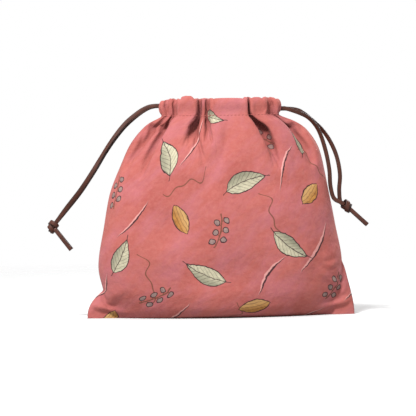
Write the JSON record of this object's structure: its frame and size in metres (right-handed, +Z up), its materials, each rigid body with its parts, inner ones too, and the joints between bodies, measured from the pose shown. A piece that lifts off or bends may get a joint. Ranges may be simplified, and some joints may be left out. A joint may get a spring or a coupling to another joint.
{
  "type": "drawstring pouch",
  "caption": "Gathered cotton drawstring pouch standing filled, with a channelled mouth drawn by knotted flat leather laces and flat eared bottom corners.",
  "frame": {"origin": "middle of the footprint, on the surface that the pouch stands on", "axes": "+Z up, +X to the right seen from the front, -Y out of the front panel"},
  "size_m": [0.3129, 0.084, 0.2151],
  "materials": {
    "printed_cotton": "matte plain weave, coral with a watercolour print",
    "lace_leather": "dark brown flat lace with a slight sheen"
  },
  "bodies": {
    "root": {"front_panel": "printed_cotton", "back_panel": "printed_cotton", "left_lace_in_channel": "lace_leather", "right_lace_in_channel": "lace_leather", "left_front_strand": "lace_leather", "left_back_strand": "lace_leather", "right_front_strand": "lace_leather", "right_back_strand": "lace_leather", "left_knot": "lace_leather", "right_knot": "lace_leather", "left_front_tail": "lace_leather", "left_back_tail": "lace_leather", "right_front_tail": "lace_leather", "right_back_tail": "lace_leather"}
  },
  "joints": []
}
